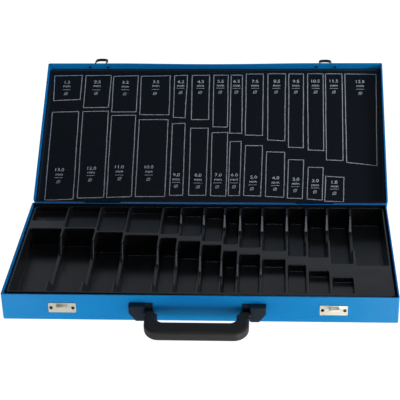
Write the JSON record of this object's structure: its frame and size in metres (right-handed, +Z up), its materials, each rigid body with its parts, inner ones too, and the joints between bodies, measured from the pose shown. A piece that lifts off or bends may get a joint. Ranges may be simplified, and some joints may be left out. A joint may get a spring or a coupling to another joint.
{
  "type": "twist drill case",
  "caption": "Flat blue sheet-steel case with hinged lid, black compartment tray, printed size chart, two hasps and a folding carrying handle.",
  "frame": {"origin": "centre of the base's underside, on the surface that the case stands on", "axes": "+X to the right and -Y to the front as seen by someone opening the case, +Z up; the hinges are at +Y"},
  "size_m": [0.5026, 0.536, 0.1644],
  "materials": {
    "blue_paint": "smooth semi-gloss blue enamel on sheet steel",
    "tray_plastic": "glossy vacuum-formed black sheet",
    "liner_plastic": "satin black sheet with a pale grey printed chart",
    "handle_plastic": "fine-grained black moulding",
    "plated_steel": "bright zinc plating",
    "dark_steel": "blackened polished steel",
    "hinge_steel": "zinc-plated steel",
    "rivet_metal": "blind rivets with dark bores"
  },
  "bodies": {
    "base": {"base_shell": "blue_paint", "tray_insert": "tray_plastic", "hinge_base_leaf_left": "hinge_steel", "hinge_base_leaf_right": "hinge_steel", "hinge_pin_left": "hinge_steel", "hinge_pin_right": "hinge_steel", "hinge_rivets_base": "rivet_metal", "keeper_left": "plated_steel", "keeper_right": "plated_steel", "keeper_rivets": "rivet_metal", "handle_bracket_left": "handle_plastic", "handle_bracket_right": "handle_plastic", "handle_axle_left": "hinge_steel", "handle_axle_right": "hinge_steel", "bracket_screws": "hinge_steel"},
    "lid": {"lid_shell": "blue_paint", "lid_liner": "liner_plastic", "hinge_lid_leaf_left": "hinge_steel", "hinge_lid_leaf_right": "hinge_steel", "hinge_rivets_lid": "rivet_metal", "hasp_plate_left": "plated_steel", "hasp_plate_right": "plated_steel", "hasp_pin_left": "dark_steel", "hasp_pin_right": "dark_steel", "hasp_rivets": "rivet_metal"},
    "hasp_left": {"hasp_lever_left": "dark_steel"},
    "hasp_right": {"hasp_lever_right": "dark_steel"},
    "handle": {"carry_handle": "handle_plastic"}
  },
  "joints": [
    {"name": "lid_hinge", "type": "hinge", "parent": "base", "child": "lid", "pos_m": [0, 0.12135, 0.03765], "axis": [1, 0, 0], "range_deg": [0, 148.1]},
    {"name": "hasp_left_pivot", "type": "hinge", "parent": "lid", "child": "hasp_left", "pos_m": [-0.17275, 0.33407, 0.15575], "axis": [1, 0, 0], "range_deg": [-50, 125.5]},
    {"name": "hasp_right_pivot", "type": "hinge", "parent": "lid", "child": "hasp_right", "pos_m": [0.169, 0.33407, 0.15575], "axis": [1, 0, 0], "range_deg": [-50, 129]},
    {"name": "handle_pivot", "type": "hinge", "parent": "base", "child": "handle", "pos_m": [-0.0015, -0.12645, 0.0143], "axis": [-1, 0, 0], "range_deg": [0, 88]}
  ]
}
